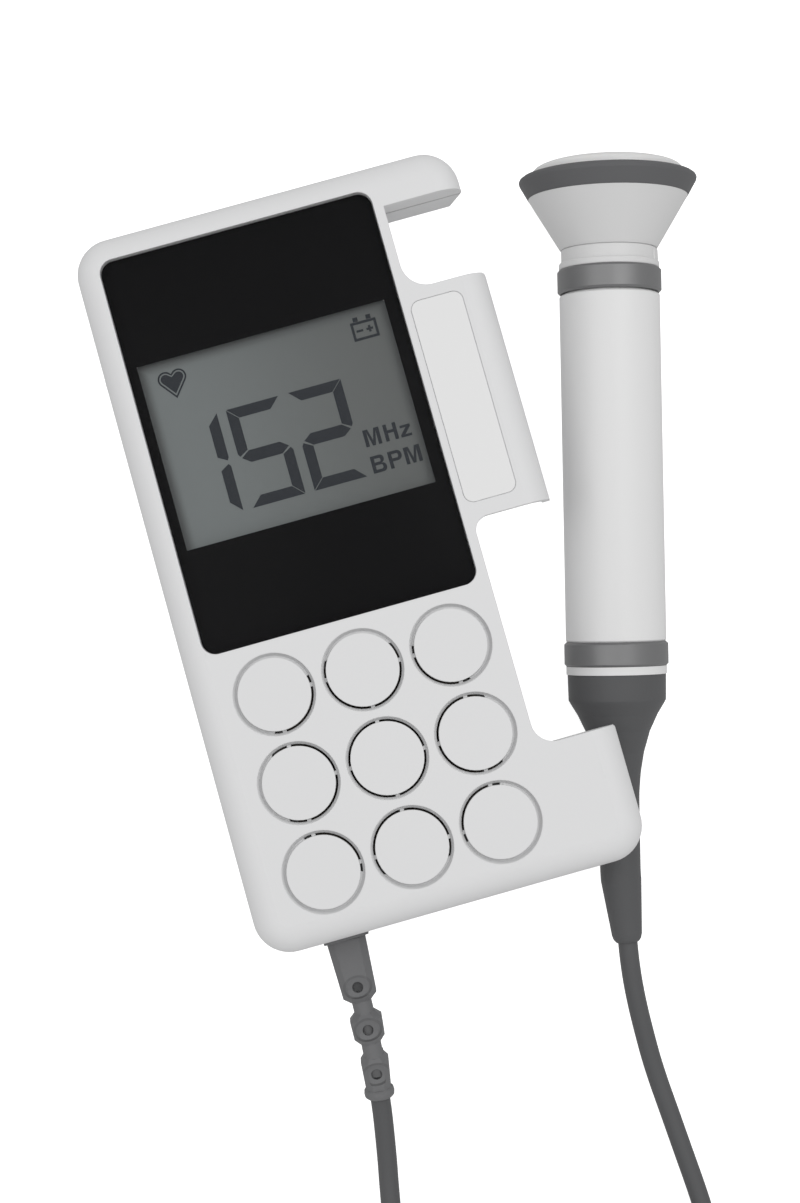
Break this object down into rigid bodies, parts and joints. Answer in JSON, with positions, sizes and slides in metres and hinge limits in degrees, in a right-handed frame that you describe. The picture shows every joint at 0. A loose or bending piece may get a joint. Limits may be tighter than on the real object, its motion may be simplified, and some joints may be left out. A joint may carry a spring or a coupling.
{
  "type": "fetal doppler monitor",
  "caption": "Handheld fetal heart doppler: slim white monitor with display, loudspeaker grille and side dock, and a corded pencil probe with a wide round sensing head.",
  "frame": {"origin": "centre of the flat back face of the monitor's main housing", "axes": "+X to the right side that carries the probe dock, +Y to the monitor's top edge, +Z out of the display face; the monitor lies on its back"},
  "size_m": [0.1225, 0.2721, 0.0349],
  "materials": {
    "white_shell": "fine satin, slightly cool white",
    "window_black": "gloss, smoke black",
    "mask_black": "printed black film",
    "lcd": "polarised glass",
    "white_inner": "diffuser white",
    "black_rubber": "matt",
    "board_green": "solder mask",
    "chip_black": "epoxy",
    "steel": "plated steel",
    "speaker_steel": "black",
    "paper_cone": "paper",
    "magnet": "plated",
    "foam": "open foam",
    "label_white": "bare film label",
    "button_grey": "satin",
    "cell_wrap": "shrink wrap",
    "dark_rubber": "soft, matt charcoal",
    "grip_grey": "satin mid grey",
    "cable_jacket": "satin charcoal jacket",
    "probe_white": "semi-gloss white",
    "crystal": "silvered ceramic",
    "backing": "filled epoxy"
  },
  "bodies": {
    "monitor": {"front_case": "white_shell", "rear_case": "white_shell", "display_window": "window_black", "window_mask": "mask_black", "lcd_glass": "lcd", "lcd_tray": "white_inner", "contact_strips": "black_rubber", "main_board": "board_green", "board_chips": "chip_black", "board_screws": "steel", "loudspeaker_basket": "speaker_steel", "loudspeaker_cone": "paper_cone", "loudspeaker_magnet": "magnet", "loudspeaker_gasket": "foam", "tab_label": "label_white", "side_switches": "chip_black", "headphone_socket": "chip_black", "battery_cells": "cell_wrap", "battery_contacts": "steel", "case_screws": "steel", "cable_strain_relief": "dark_rubber", "inner_lead": "cable_jacket", "lead_plug": "white_inner", "cable_monitor_leg": "cable_jacket", "cable_coil": "cable_jacket", "cable_probe_leg": "cable_jacket"},
    "power_button": {"power_button": "button_grey"},
    "volume_up_button": {"volume_up_button": "button_grey"},
    "volume_down_button": {"volume_down_button": "button_grey"},
    "battery_door": {"battery_door": "white_shell"},
    "probe": {"probe_barrel": "probe_white", "probe_upper_band": "grip_grey", "probe_lower_band": "grip_grey", "probe_end_ring": "probe_white", "probe_collar": "probe_white", "probe_head": "probe_white", "probe_rim": "grip_grey", "probe_face": "probe_white", "probe_crystals": "crystal", "probe_backing": "backing", "probe_board": "board_green", "probe_boot": "dark_rubber"}
  },
  "joints": [
    {"name": "power_button_press", "type": "slide", "parent": "monitor", "child": "power_button", "axis": [1, 0, 0], "range_m": [0, 0.0005], "stiffness_N_per_m": 1500, "springref_m": -0.0003},
    {"name": "volume_up_button_press", "type": "slide", "parent": "monitor", "child": "volume_up_button", "axis": [1, 0, 0], "range_m": [0, 0.0005], "stiffness_N_per_m": 1500, "springref_m": -0.0003},
    {"name": "volume_down_button_press", "type": "slide", "parent": "monitor", "child": "volume_down_button", "axis": [1, 0, 0], "range_m": [0, 0.0005], "stiffness_N_per_m": 1500, "springref_m": -0.0003},
    {"name": "battery_door_slide", "type": "slide", "parent": "monitor", "child": "battery_door", "axis": [0, -1, 0], "range_m": [0, 0.012]},
    {"name": "probe_slide", "type": "slide", "parent": "monitor", "child": "probe", "axis": [1, 0, 0], "range_m": [0, 0.02]}
  ]
}
